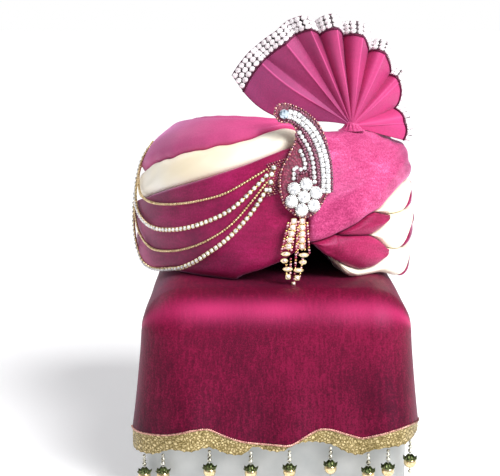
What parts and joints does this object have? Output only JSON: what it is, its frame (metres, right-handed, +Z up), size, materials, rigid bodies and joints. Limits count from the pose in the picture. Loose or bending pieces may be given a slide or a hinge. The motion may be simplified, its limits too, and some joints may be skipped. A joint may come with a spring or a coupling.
{
  "type": "tied turban on a display block",
  "caption": "Tied velvet and cream turban with a pleated fan, paisley brooch, swagged chains and a lace-edged tail over a plain display block.",
  "frame": {"origin": "centre of the display block's rounded underside below the turban's middle, on the surface it stands on", "axes": "+Z up, -Y the side the viewer faces, +X the viewer's right"},
  "size_m": [0.2636, 0.3518, 0.3986],
  "materials": {
    "velvet": "crushed wine-red velvet with a pink sheen",
    "cream_satin": "soft cream satin",
    "lining": "dark stiffened cloth",
    "gold_lace": "metallic woven lace",
    "gold_metal": "bright gold plating",
    "clear_stone": "cut clear stones in silver cups",
    "silver_bead": "aged silver and gold beads",
    "white_board": "plain matt white"
  },
  "bodies": {
    "root": {"bead_drop_1": "silver_bead", "bead_drop_2": "silver_bead", "bead_drop_3": "silver_bead", "bead_drop_4": "silver_bead", "bead_drop_5": "silver_bead", "bead_drop_6": "silver_bead", "bead_drop_7": "silver_bead", "bead_drop_8": "silver_bead", "bead_drop_9": "silver_bead", "cap": "lining", "chain_1": "gold_metal", "chain_2": "clear_stone", "chain_3": "gold_metal", "chain_4": "clear_stone", "chain_hook": "gold_metal", "chain_joint": "clear_stone", "cream_fold_1": "cream_satin", "cream_fold_2": "cream_satin", "cream_fold_3": "cream_satin", "cream_sash": "cream_satin", "crown": "velvet", "display_block": "white_board", "fan": "velvet", "fan_trim": "clear_stone", "flower_stone_1": "clear_stone", "flower_stone_2": "clear_stone", "flower_stone_3": "clear_stone", "flower_stone_4": "clear_stone", "flower_stone_5": "clear_stone", "flower_stone_6": "clear_stone", "flower_stone_7": "clear_stone", "front_wrap": "velvet", "kalgi_curl_row": "clear_stone", "kalgi_inner_row": "clear_stone", "kalgi_outer_row": "clear_stone", "kalgi_plate": "gold_metal", "kalgi_tip_stone": "clear_stone", "knot": "velvet", "lower_wrap": "velvet", "pendant_strands": "clear_stone", "rear_wrap_1": "velvet", "rear_wrap_2": "velvet", "rear_wrap_3": "velvet", "tail_cloth": "velvet", "tail_lace": "gold_lace", "upper_wrap": "velvet", "velvet_fold_1": "velvet", "velvet_fold_2": "velvet"}
  },
  "joints": []
}
